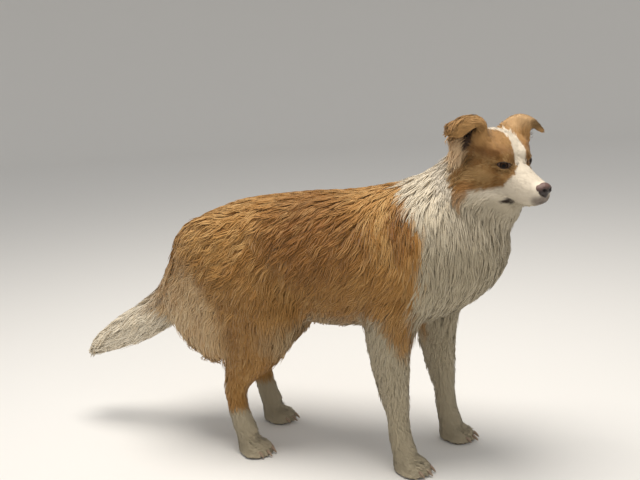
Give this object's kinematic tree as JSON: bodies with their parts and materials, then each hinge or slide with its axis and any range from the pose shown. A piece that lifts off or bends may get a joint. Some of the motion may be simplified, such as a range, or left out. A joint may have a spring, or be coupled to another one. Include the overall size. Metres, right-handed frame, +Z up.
{
  "type": "dog",
  "caption": "Life-size still model of a long-coated gold and white sheepdog, standing with its head turned to the right and its tail low behind it.",
  "frame": {"origin": "centre of the bounding box on the floor, under the dog", "axes": "+X towards the head, +Y to the dog's left, +Z up"},
  "size_m": [0.998, 0.2548, 0.6477],
  "materials": {
    "gold_coat": "long soft gold hair",
    "white_coat": "long soft white hair",
    "nose_leather": "moist, liver brown",
    "eye": "wet and shining",
    "claw": "horn"
  },
  "bodies": {
    "root": {"ear_left": "gold_coat", "ear_right": "gold_coat", "eye_left": "eye", "eye_right": "eye", "foreclaw_left_1": "claw", "foreclaw_left_2": "claw", "foreclaw_left_3": "claw", "foreclaw_left_4": "claw", "foreclaw_right_1": "claw", "foreclaw_right_2": "claw", "foreclaw_right_3": "claw", "foreclaw_right_4": "claw", "foreleg_left": "gold_coat", "foreleg_right": "gold_coat", "forepaw_left": "white_coat", "forepaw_right": "white_coat", "head": "white_coat", "hindclaw_left_1": "claw", "hindclaw_left_2": "claw", "hindclaw_left_3": "claw", "hindclaw_left_4": "claw", "hindclaw_right_1": "claw", "hindclaw_right_2": "claw", "hindclaw_right_3": "claw", "hindclaw_right_4": "claw", "hindleg_lower_left": "gold_coat", "hindleg_lower_right": "gold_coat", "hindpaw_left": "white_coat", "hindpaw_right": "white_coat", "neck": "white_coat", "nose": "nose_leather", "tail": "gold_coat", "tail_tip": "white_coat", "thigh_left": "gold_coat", "thigh_right": "gold_coat", "trunk": "gold_coat"}
  },
  "joints": []
}
